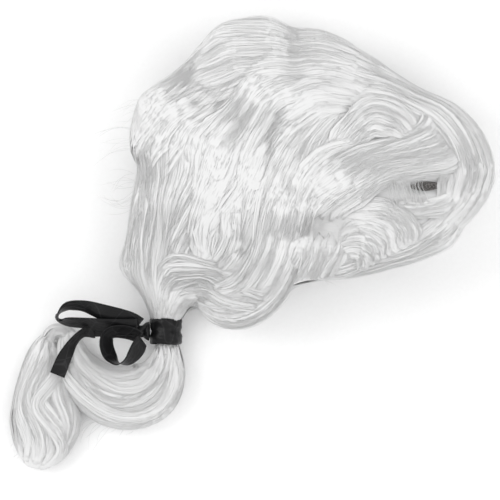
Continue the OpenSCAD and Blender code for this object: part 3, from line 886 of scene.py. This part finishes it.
def tube_hair(name, stations, locks, layers, width, thick, each, seed, sway=0.0):
    """Locks and strands laid round a soft tube of hair, with a slow twist and a common wave."""
    rng = np.random.default_rng(seed)
    t = np.linspace(0, 1, STEPS)[None, :]
    n = locks * layers
    turn0 = np.tile(np.arange(locks) * 2 * math.pi / locks, layers) + rng.uniform(-0.2, 0.2, n)
    twist = rng.normal(0.25, 0.22, (n, 1))
    wave = rng.normal(0, 0.13, (n, 1)) * np.sin(
        2 * math.pi * (t * rng.uniform(0.8, 2.2, (n, 1)) + rng.uniform(0, 1, (n, 1)))
    )
    wave = wave + sway * np.sin(2 * math.pi * (1.4 * t + 0.1)) * np.sin(turn0)[:, None]
    turn = turn0[:, None] + twist * (t - 0.5) + wave
    level = np.repeat(np.arange(layers), locks) * 0.9 + rng.uniform(-0.6, 0.6, n)
    swell = level[:, None] - 1.5 * (1 - smooth((1 - t) / 0.2)) * np.ones((n, 1))
    p, normal = tube_point(stations, t * np.ones((n, 1)), turn, swell)
    wide = width * rng.uniform(0.75, 1.25, n)
    tall = THIN * thick * rng.uniform(0.8, 1.2, n)
    p, normal = trim(p, normal, rng, 0.12, 0.14)
    return hair_pieces(name, p, normal, wide, tall, 0.3, each, (0.15, 0.12), rng)


def lining(edge, upper):
    """Rings from the edge of the opening to the cap's edge, and on over the cap."""
    share = np.clip((edge[:, 0] - MOUTH_X) / MOUTH_HALF, -0.999, 0.999)
    phi = np.arccos(share) * np.where(upper, 1, -1)
    axes = CAP_AXES + LINING_GAP
    rings = []
    for k in np.linspace(0, 1, 16)[:-1]:
        lat = k * math.pi / 2
        x = CAP_MIDDLE[0] + axes[0] * math.cos(lat) * np.cos(phi)
        y = np.full(len(phi), CAP_MIDDLE[1] + axes[1] * math.sin(lat))
        z = CAP_MIDDLE[2] + axes[2] * math.cos(lat) * np.sin(phi)
        rings.append(np.stack([x, y, z], 1))
    return [edge * (1 - k) + rings[0] * k for k in (0.35, 0.7)] + rings


def hair_bed():
    """The closed body of hair under the locks, hollow where the cap is."""
    n = 240
    turn = np.linspace(-math.pi, math.pi, n, endpoint=False)
    ring = np.stack([np.cos(turn), np.sin(turn)], 1)
    levels = np.linspace(0, 1, 30)[1:]
    levels = np.r_[levels[:-1], 0.9999, 1.0001, 2 - levels[::-1][1:]]
    rows = [head(w * ring, np.full(n, BED_LIFT))[0] for w in levels]
    poles = [head(np.array([[w, 0.0]]), np.array([BED_LIFT]))[0] for w in (0.0, 1.99999)]
    # Where there is no opening, the under side's first row is the upper side's last.
    top = np.flatnonzero(levels < 1)[-1]
    shut = np.flatnonzero(mouth_gap(turn) <= 0.5)
    rows[top + 1][shut] = rows[top][shut]
    v = np.vstack([poles[0]] + rows + [poles[1]])
    first = 1 + n * np.arange(len(rows))
    rim, lip = first[top], first[top + 1]
    merge = np.arange(len(v))
    merge[lip + shut] = rim + shut
    a = np.arange(n)
    b = (a + 1) % n
    tris = [
        np.stack([np.zeros(n, int), 1 + a, 1 + b], 1),
        np.stack([np.full(n, len(v) - 1), first[-1] + b, first[-1] + a], 1),
    ]
    quads = [
        np.stack([one + a, two + a, two + b, one + b], 1)
        for one, two in zip(first, first[1:]) if one != rim
    ]
    open_ks = np.setdiff1d(a, shut)
    open_ks = open_ks[np.argsort(v[rim + open_ks, 0])]
    loop = np.concatenate([rim + open_ks[::-1], lip + open_ks])
    m = len(loop)
    rings = lining(v[loop], np.arange(m) < len(open_ks))
    ids = [loop] + [len(v) + i * m + np.arange(m) for i in range(len(rings))]
    v = np.vstack([v] + rings + [CAP_MIDDLE[None] + [[0, CAP_AXES[1] + LINING_GAP, 0]]])
    for one, two in zip(ids, ids[1:]):
        quads.append(np.stack([one, np.roll(one, -1), np.roll(two, -1), two], 1))
    tris.append(np.stack([ids[-1], np.roll(ids[-1], -1), np.full(m, len(v) - 1)], 1))
    merge = np.r_[merge, np.arange(len(merge), len(v))]
    f3, f4 = merge[np.vstack(tris)], merge[np.vstack(quads)]
    used = np.unique(np.concatenate([f3.ravel(), f4.ravel()]))
    place = np.zeros(len(v), int)
    place[used] = np.arange(len(used))
    v = v[used]
    uv = np.stack([np.arctan2(v[:, 1], v[:, 0]) * 8, np.hypot(v[:, 0], v[:, 1]) / 60], 1)
    return mesh_object("hair_bed", v, (place[f3], place[f4]), HAIR, "cap", uv)


def strip_mesh(centre, half, lift):
    """A thin band of cloth: centre line, half-width vectors, and half-thickness vectors."""
    count = len(centre)
    places = np.array([-1, -0.92, -0.6, -0.2, 0.2, 0.6, 0.92, 1.0])
    hem = np.array([0.7, 1.25, 0.9, 0.9, 0.9, 0.9, 1.25, 0.7])
    top = centre[:, None] + half[:, None] * places[:, None] + lift[:, None] * hem[:, None]
    low = centre[:, None] + half[:, None] * places[:, None] - lift[:, None] * hem[:, None]
    v, m = two_skins(top, low)
    uv = np.stack(np.meshgrid(np.linspace(0, 1, m), np.linspace(0, 4, count)), -1)
    return v, tube_faces(1, count, m), uv.reshape(-1, 2)


def ribbon_path(r):
    """A band of ribbon along 3-D points. A tilt is how far it leans from lying flat, in degrees."""
    count = 60
    rng = np.random.default_rng(r["seed"])
    line = curve_points([(*p, a) for p, a in zip(r["points"], r["tilts"])], count)
    centre = line[:, :3]
    ahead = unit(np.gradient(centre, axis=0))
    flat_side = unit(np.cross(ahead, UP))
    up = np.cross(flat_side, ahead)
    lean = np.radians(line[:, 3:4])
    side = flat_side * np.cos(lean) + up * np.sin(lean)
    normal = np.cross(side, ahead)
    t = np.linspace(0, 1, count)
    wave = sum(
        rng.normal(0, r["crinkle"] / k) * np.sin(2 * math.pi * k * t + rng.uniform(0, 6))
        for k in (2, 3, 5)
    )
    centre = centre + normal * wave[:, None]
    v, faces, uv = strip_mesh(centre, side * r["width"] / 2, normal * 0.35)
    length = np.linalg.norm(np.diff(centre, axis=0), axis=1).sum()
    return mesh_object(r["name"], v, faces, SATIN, r["body"], uv), length


def ribbon_wrap():
    """The ribbon wound round the queue, bunched into soft folds."""
    around, rows = 96, 15
    turn = np.linspace(0, 2 * math.pi, around, endpoint=False)[:, None]
    s = np.linspace(0, 1, rows)[None, :]
    r = 12.4 + 0.55 * np.sin(s * 9.5 + 0.8 * np.sin(turn)) + 0.35 * np.sin(s * 21 + 2 * turn)
    r = r + 0.25 * np.sin(5 * turn + 3 * s) - 0.5 * (2 * s - 1) ** 6
    at = 6.4 + 20.8 * s + 0.5 * np.sin(2 * turn)

    def shell(grow):
        return (
            NECK
            + DOWN * at[..., None]
            + ACROSS * ((r + grow) * np.cos(turn))[..., None]
            + UP * ((r + grow) * np.sin(turn))[..., None]
        )

    v, m = two_skins(shell(0.3), shell(-0.4))
    v[:, 2] = np.maximum(v[:, 2], 0.3)
    uv = np.full((len(v), 2), 0.5)
    faces = loop_faces(around, m)
    return mesh_object("ribbon_wrap_cloth", v, faces, SATIN, "tie", uv)


def ribbon_knot():
    """The knot: a short band pulled tight over the wrap, with folds across it."""
    rings, sides = 28, 22
    t = np.linspace(0, 1, rings)[:, None]
    turn = np.linspace(0, 2 * math.pi, sides, endpoint=False)[None, :]
    centre = NECK + DOWN * 16.6 - ACROSS * 16.0
    bend = (t - 0.5) * math.pi * 0.95
    line = centre + ACROSS * (-(4.2 * np.cos(bend) - 3.0))[..., None] + UP * (
        6.5 * np.sin(bend) + 5.5
    )[..., None]
    ahead = unit(np.gradient(line[:, 0], axis=0))[:, None]
    side = np.broadcast_to(DOWN, ahead.shape)
    out = np.cross(side, ahead)
    pinch = 1 - 0.28 * np.cos(bend) ** 2
    fold = 1 + 0.10 * np.sin(5 * turn + 2 * t)
    half = 7.0 * pinch * fold
    deep = 3.4 * fold
    v = line + side * (half * np.cos(turn))[..., None] + out * (deep * np.sin(turn))[..., None]
    uv = np.zeros((rings * sides, 2))
    return mesh_object("ribbon_knot_cloth", v.reshape(-1, 3), tube_faces(1, rings, sides), SATIN,
                       "tie", uv)


RIBBONS = (
    dict(
        name="bow_upper_cloth", node="bow_loop_upper", body="bow_upper", on="ribbon_knot_cloth",
        held="folded", width=16.5, flat_width=0.0155, seed=11, crinkle=0.5,
        points=[(-87, -50, 37), (-93, -41.5, 39.5), (-107.5, -26, 43), (-118.6, -14, 44),
                (-129.7, -8.5, 42), (-140, -12, 39.5), (-136, -18.5, 37), (-126, -26, 36),
                (-113, -36, 36), (-97, -46.5, 37.5), (-89, -50.5, 37)],
        tilts=[40, 30, 40, 58, 66, 95, 116, 122, 136, 146, 140],
    ),
    dict(
        name="bow_lower_cloth", node="bow_loop_lower", body="bow_lower", on="ribbon_knot_cloth",
        held="folded", width=15.5, flat_width=0.015, seed=12, crinkle=0.5,
        points=[(-91, -59, 32.5), (-99, -50, 34.5), (-110, -44, 36), (-117, -49, 37),
                (-119.5, -60, 38), (-116.5, -69, 38.5), (-108, -70.5, 38.5), (-98, -66, 36.5),
                (-91, -62, 32.5)],
        tilts=[50, 45, 52, 48, 52, 88, 120, 140, 132],
    ),
    dict(
        name="tail_root_cloth", node="ribbon_tail_root", body="tie", on="ribbon_knot_cloth",
        held="laid", width=10.5, flat_width=0.0105, seed=13, crinkle=0.15,
        points=[(-86, -57, 27), (-97, -50, 29.8), (-109, -42, 30), (-121, -36, 30)],
        tilts=[30, 10, 0, 20],
    ),
    dict(
        name="tail_end_cloth", node="ribbon_tail_end", body="ribbon_tail", on="tail_root_cloth",
        held="laid", width=12.5, flat_width=0.011, seed=14, crinkle=0.3,
        points=[(-121, -36, 30), (-130, -33, 31), (-140, -35.5, 32), (-152, -42.5, 32.3),
                (-164.5, -52, 31.5)],
        tilts=[20, 58, 56, 28, 5],
    ),
)


def ribbons():
    wrap = ribbon_wrap()
    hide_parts("ribbon_wrap")
    knot = ribbon_knot()
    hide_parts("ribbon_knot")
    for r in RIBBONS:
        band, length = ribbon_path(r)
        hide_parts(r["node"])


def cap_strip(name, node, level_axis, low, high, start, stop, grow, thick):
    """A sewn strip on the cap: between two levels of one axis, over an arc of the other two."""
    count = 72
    a, b = [k for k in range(3) if k != level_axis]
    level = np.linspace(low, high, 9)[None, :]
    turn = np.radians(np.linspace(start, stop, count))[:, None]
    off_middle = np.abs(2 * (level - low) / (high - low) - 1)
    stitch = 0.12 * np.sin(turn * 260) * np.exp(-((off_middle - 0.8) / 0.1) ** 2)

    def skin(extra):
        axes = CAP_AXES + grow + extra
        left = np.sqrt(np.clip(1 - (level / axes[level_axis]) ** 2, 0, 1))
        p = np.zeros((count, 9, 3))
        p[..., level_axis] = level
        p[..., a] = axes[a] * left * np.cos(turn)
        p[..., b] = axes[b] * left * np.sin(turn)
        return p + CAP_MIDDLE

    outer = skin(0)
    inner = skin(-thick)
    inner += (inner - CAP_MIDDLE) * (-stitch / 60)[..., None]
    v, m = two_skins(outer, inner)
    uv = np.zeros((len(v), 2))
    obj = mesh_object(name, v, tube_faces(1, count, m), WEB, "cap", uv)
    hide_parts(node)


def cap_net():
    """The stretch net: a thin shell over the head, softly puckered, with a turned edge."""
    n, rows = 128, 39
    turn = np.linspace(0, 2 * math.pi, n, endpoint=False)[None, :]
    lat = np.linspace(0, math.pi / 2, rows + 1)[:-1, None]
    pucker = 0.25 * np.sin(26 * turn) * np.cos(lat) * np.sin(lat * 18)
    axes = CAP_AXES - 0.2
    x = axes[0] * np.cos(lat) * np.cos(turn)
    y = axes[1] * np.sin(lat) * np.ones_like(turn)
    z = axes[2] * np.cos(lat) * np.sin(turn)
    outer = np.stack([x, y, z], -1) + CAP_MIDDLE
    outer = outer + unit(outer - CAP_MIDDLE) * pucker[..., None]
    inner = outer - unit(outer - CAP_MIDDLE) * 0.9
    poles = np.array([[0, CAP_AXES[1] - 0.2, 0], [0, CAP_AXES[1] - 1.1, 0]]) + CAP_MIDDLE
    v = np.vstack([outer.reshape(-1, 3), inner.reshape(-1, 3), poles])
    a = np.arange(n)
    b = (a + 1) % n
    i = rows * n
    quads = []
    for r in range(0, i - n, n):
        quads.append(np.stack([r + a, r + n + a, r + n + b, r + b], 1))
        quads.append(np.stack([i + r + a, i + r + b, i + r + n + b, i + r + n + a], 1))
    quads.append(np.stack([a, b, i + b, i + a], 1))
    top = i - n
    tris = [
        np.stack([top + a, np.full(n, 2 * i), top + b], 1),
        np.stack([i + top + a, i + top + b, np.full(n, 2 * i + 1)], 1),
    ]
    uv = np.zeros((len(v), 2))
    faces = (np.vstack(quads), np.vstack(tris))
    net = mesh_object("cap_net_cloth", v, faces, NET, "cap", uv)
    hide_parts("cap_net")


def cap_parts():
    cap_net()
    inside = dict(grow=-1.8, thick=1.1)
    cap_strip("front_band_web", "front_band", 1, 0.2, 9.8, -84, 84, **inside)
    cap_strip("nape_band_web", "nape_band", 1, 0.2, 9.8, 97, 263, **inside)
    cap_strip("crown_rib_web", "crown_rib", 2, -4.8, 4.8, 4, 176, **inside)
    outside = dict(grow=1.9, thick=1.5)
    for i in range(6):
        rise = 12 + 22 * i
        cap_strip(f"weft_{i + 1}_web", f"weft_track_{i + 1}", 1, rise, rise + 3, 42, 318, **outside)


SOFT_PARTS = {
    "side_rib_right": (WEB, "band"), "side_rib_left": (WEB, "band"),
    "loop_tape_right": (WEB, "band"), "loop_tape_left": (WEB, "band"),
    "ear_tab_right": (NET, "net"), "ear_tab_left": (NET, "net"),
    "adjuster_strap_right": (WEB, "elastic"), "adjuster_strap_left": (WEB, "elastic"),
    "tie_elastic": (WEB, "elastic"),
}
HARD_PARTS = ("ear_stay_right", "ear_stay_left", "adjuster_hook_right", "adjuster_hook_left")
CLOTH_VOXEL = 0.00045


def soft_part(name, finish):
    """A sewn piece with rounded edges, a woven face and slight waves along it."""
    source = frame["nodes"][name]
    work = bpy.data.objects.new(name + "_work", source.data.copy())
    bpy.context.scene.collection.objects.link(work)
    work.matrix_world = source.matrix_world
    cloth = work.modifiers.new("cloth", "REMESH")
    cloth.mode = "VOXEL"
    cloth.voxel_size = CLOTH_VOXEL
    soften = work.modifiers.new("soften", "SMOOTH")
    soften.iterations = 5
    made = work.evaluated_get(bpy.context.evaluated_depsgraph_get())
    ready = made.to_mesh()
    v = np.array([work.matrix_world @ a.co for a in ready.vertices]) / MM
    normal = np.array([a.normal for a in ready.vertices])
    faces = np.array([a.vertices for a in ready.polygons])
    made.to_mesh_clear()
    bpy.data.objects.remove(work)
    weave = np.sin(v[:, 0] * 3.1) * np.sin(v[:, 1] * 3.1) * np.cos(v[:, 2] * 3.1)
    wave = np.sin(v[:, 0] * 0.31 + 1) * np.cos(v[:, 1] * 0.27) + np.sin(v[:, 2] * 0.4)
    v = v + normal * (0.06 * weave + 0.12 * wave)[:, None]
    v[:, 2] = np.maximum(v[:, 2], 0.3)
    obj = mesh_object(name + "_sewn", v, faces, finish, source["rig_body"])
    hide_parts(name)


def small_parts():
    """The sewn pieces that Blender makes again, and the moulded ones that take a finish."""
    for name, (finish, slot) in SOFT_PARTS.items():
        soft_part(name, finish)
    for name in HARD_PARTS:
        mesh = frame["nodes"][name].data
        mesh.materials.clear()
        mesh.materials.append(PLASTIC)


def net_window():
    """The net that shows at the bottom of the parting beside the brow, darker than the cap's net:
    painted shade.
    """
    t = np.linspace(-1, 1, 24)[:, None]
    k = np.linspace(-1, 1, 9)[None, :]
    half = 3.6 * (1.001 - t**2) ** 0.9 * (1 - 0.35 * t)
    x = 168 + 17 * t * 0.85 + half * k * 0.5
    y = -70 - 17 * t * 0.45 + half * k * 0.85
    q = chart(np.stack([x.ravel(), y.ravel()], 1))
    top, _ = head(q, np.full(len(q), 0.5))
    low, _ = head(q, np.full(len(q), -1.6))
    v, m = two_skins(top.reshape(24, 9, 3), low.reshape(24, 9, 3))
    uv = np.zeros((len(v), 2))
    mesh_object("net_window", v, tube_faces(1, 24, m), PAINTED_SHADE_NET, "cap", uv)


def carry_fan(name, piece):
    """Fans that reach the tie, and the curl, have their place baked into the mesh; with the curl
    the lock over the ear is hidden. The others go with the cap.
    """
    if name in ("sweep", "back", "hip", "flank"):
        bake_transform(piece)
    elif name in ("lobe", "arch", "under", "lip"):
        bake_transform(piece)
    elif name == "curl":
        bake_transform(piece)
        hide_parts("ear_lock_right")
    else:
        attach(piece, "cap")


def build_hair():
    bed = hair_bed()
    parts = [
        f"hair_{part}_{side}"
        for part in ("front", "crown", "side", "back", "nape")
        for side in ("right", "left")
    ]
    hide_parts(*parts, "temple_lock_right", "temple_lock_left", "ear_lock_left")
    net_window()
    for i, name in enumerate(FANS):
        for piece in build_fan(name, 20 + i):
            carry_fan(name, piece)
    gather = tube_object("gather_bed", GATHER, sink=3.0)
    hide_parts("hair_gather", "tied_hair")
    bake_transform(gather)


def build_queue():
    bend = tube_object("queue_bed", QUEUE_BEND, sink=0.8)
    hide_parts("queue_bend")
    for piece in (bend, *tube_hair("queue", QUEUE_BEND, 32, 2, 5.0, 2.0, 9, 71)):
        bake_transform(piece)
    fold = tube_object("queue_fold_bed", QUEUE_FOLD, sink=1.0)
    for piece in (fold, *tube_hair("queue_fold", QUEUE_FOLD, 16, 1, 3.4, 1.8, 6, 73)):
        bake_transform(piece)
    end = tube_object("queue_end_bed", QUEUE_END, sink=0.8)
    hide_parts("queue_end")
    for piece in (end, *tube_hair("queue_end", QUEUE_END, 30, 2, 5.0, 2.0, 9, 72, sway=0.35)):
        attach(piece, "queue_tip")


# Loose strands: root, tip, sideways bend, how many, spread at the root.
FLYAWAYS = [
    ((10, 92, 70), (-22, 103, 62), 3, 9, 9),
    ((-12, 78, 66), (-46, 92, 56), 4, 9, 9),
    ((-38, 38, 55), (-66, 52, 46), -4, 10, 9),
    ((-30, 52, 60), (-58, 60, 50), 3, 6, 6),
    ((44, -84, 40), (78, -101, 38), -4, 8, 4),
    ((-150, -104, 10), (-183, -112, 3), 4, 9, 7),
    ((-212, -88, 9), (-232, -88, 3), 3, 5, 5),
    ((-130, -112, 8), (-152, -121, 2), -3, 5, 5),
]


def flyaways():
    """Single strands that stand away from the hair's outline."""
    for i, (root, tip, bend, count, spread) in enumerate(FLYAWAYS):
        rng = np.random.default_rng(300 + i)
        root, tip = np.array(root, float), np.array(tip, float)
        run = tip - root
        sideways = unit(np.cross(run, UP))
        t = np.linspace(0, 1, STRAND_STEPS)[None, :, None]
        offset = sideways * rng.uniform(-spread, spread, (count, 1))
        reach_out = rng.uniform(0.6, 1.1, (count, 1))
        swing = sideways * rng.normal(0, 4, (count, 1)) + UP * rng.normal(0, 2.5, (count, 1))
        p = (root + offset)[:, None] + (run * reach_out + swing)[:, None] * t
        bow = rng.normal(bend, 3, (count, 1, 1))
        p = p + sideways * bow * np.sin(math.pi * t)
        p[..., 2] = np.maximum(p[..., 2], 0.6)
        normal = np.broadcast_to(UP, p.shape)
        v, faces, uv = strand_mesh(p, normal, rng.uniform(0.09, 0.15, count), rng)
        body = "cap" if root[0] > -60 else ("queue_tip" if root[0] < -200 else "queue")
        mesh_object(f"flyaway_{i + 1}", v, faces, HAIR, body, uv)


def slit_strands():
    """Fine strands that cross the parting beside the brow."""
    rng = np.random.default_rng(77)
    lines = []
    for _ in range(34):
        a = rng.uniform(0, 1)
        root = np.array([143 + 26 * a, -44 - 12 * a]) + rng.normal(0, 1.5, 2)
        tip = np.array([136 + 22 * a, -72 - 12 * a]) + rng.normal(0, 2.0, 2)
        mid = (root + tip) / 2 + rng.normal(0, 1.5, 2)
        lines.append(curve_points(chart([root, mid, tip]), STRAND_STEPS))
    q = np.array(lines)
    p, normal = head(q, np.full(q.shape[:2], -0.5))
    t = np.linspace(0, 1, STRAND_STEPS)[None, :]
    p = p + UP * (5.5 * np.sin(math.pi * t))[..., None]
    v, faces, uv = strand_mesh(p, normal, rng.uniform(0.15, 0.3, len(q)), rng)
    mesh_object("slit_strands", v, faces, HAIR, "cap", uv)


def floor_and_light():
    """A pale floor, an even studio surround and one large soft lamp."""
    size = 4.0
    mesh = bpy.data.meshes.new("floor")
    mesh.from_pydata([(-size, -size, 0), (size, -size, 0), (size, size, 0), (-size, size, 0)], [],
                     [(0, 1, 2, 3)])
    floor = bpy.data.objects.new("floor", mesh)
    bpy.context.scene.collection.objects.link(floor)
    m, tree, shader = material("floor_paper", 0.9)
    fine = noise(tree, 300.0)
    tree.links.new(ramp(tree, fine, (0.945, 0.945, 0.945), (0.965, 0.965, 0.965)),
                   shader.inputs["Base Color"])
    mesh.materials.append(m)
    world = bpy.data.worlds.new("studio")
    bpy.context.scene.world = world
    world.use_nodes = True
    back = world.node_tree.nodes["Background"]
    back.inputs["Color"].default_value = (1, 1, 1, 1)
    back.inputs["Strength"].default_value = 1.02
    for name, place, power, area in (
        ("key", (-0.9, 0.9, 1.5), 7.0, 0.8),
        ("fill", (1.0, -0.8, 1.6), 4.5, 1.2),
    ):
        lamp = bpy.data.lights.new(name, "AREA")
        lamp.energy = power
        lamp.size = area
        obj = bpy.data.objects.new(name, lamp)
        bpy.context.scene.collection.objects.link(obj)
        obj.location = place
        obj.rotation_euler = (Vector((0.02, -0.04, 0)) - Vector(place)).to_track_quat(
            "-Z", "Y").to_euler()


def camera():
    """Straight above, with the wig turned as it lies in the picture."""
    data = bpy.data.cameras.new("camera")
    data.lens = 250
    data.sensor_width = 36
    data.clip_end = 20
    obj = bpy.data.objects.new("camera", data)
    bpy.context.scene.collection.objects.link(obj)
    distance = 0.4 * data.lens / data.sensor_width
    right, up, back = Vector((0.866, -0.5, 0)), Vector((0.5, 0.866, 0)), Vector((0, 0, 1))
    turn = Matrix((right, up, back)).transposed().to_4x4()
    obj.matrix_world = Matrix.Translation((0.020, -0.0424, 0.045 + distance)) @ turn
    bpy.context.scene.camera = obj


build_hair()
build_queue()
slit_strands()
flyaways()
ribbons()
cap_parts()
small_parts()
floor_and_light()
camera()
bpy.context.scene.view_settings.view_transform = "Standard"
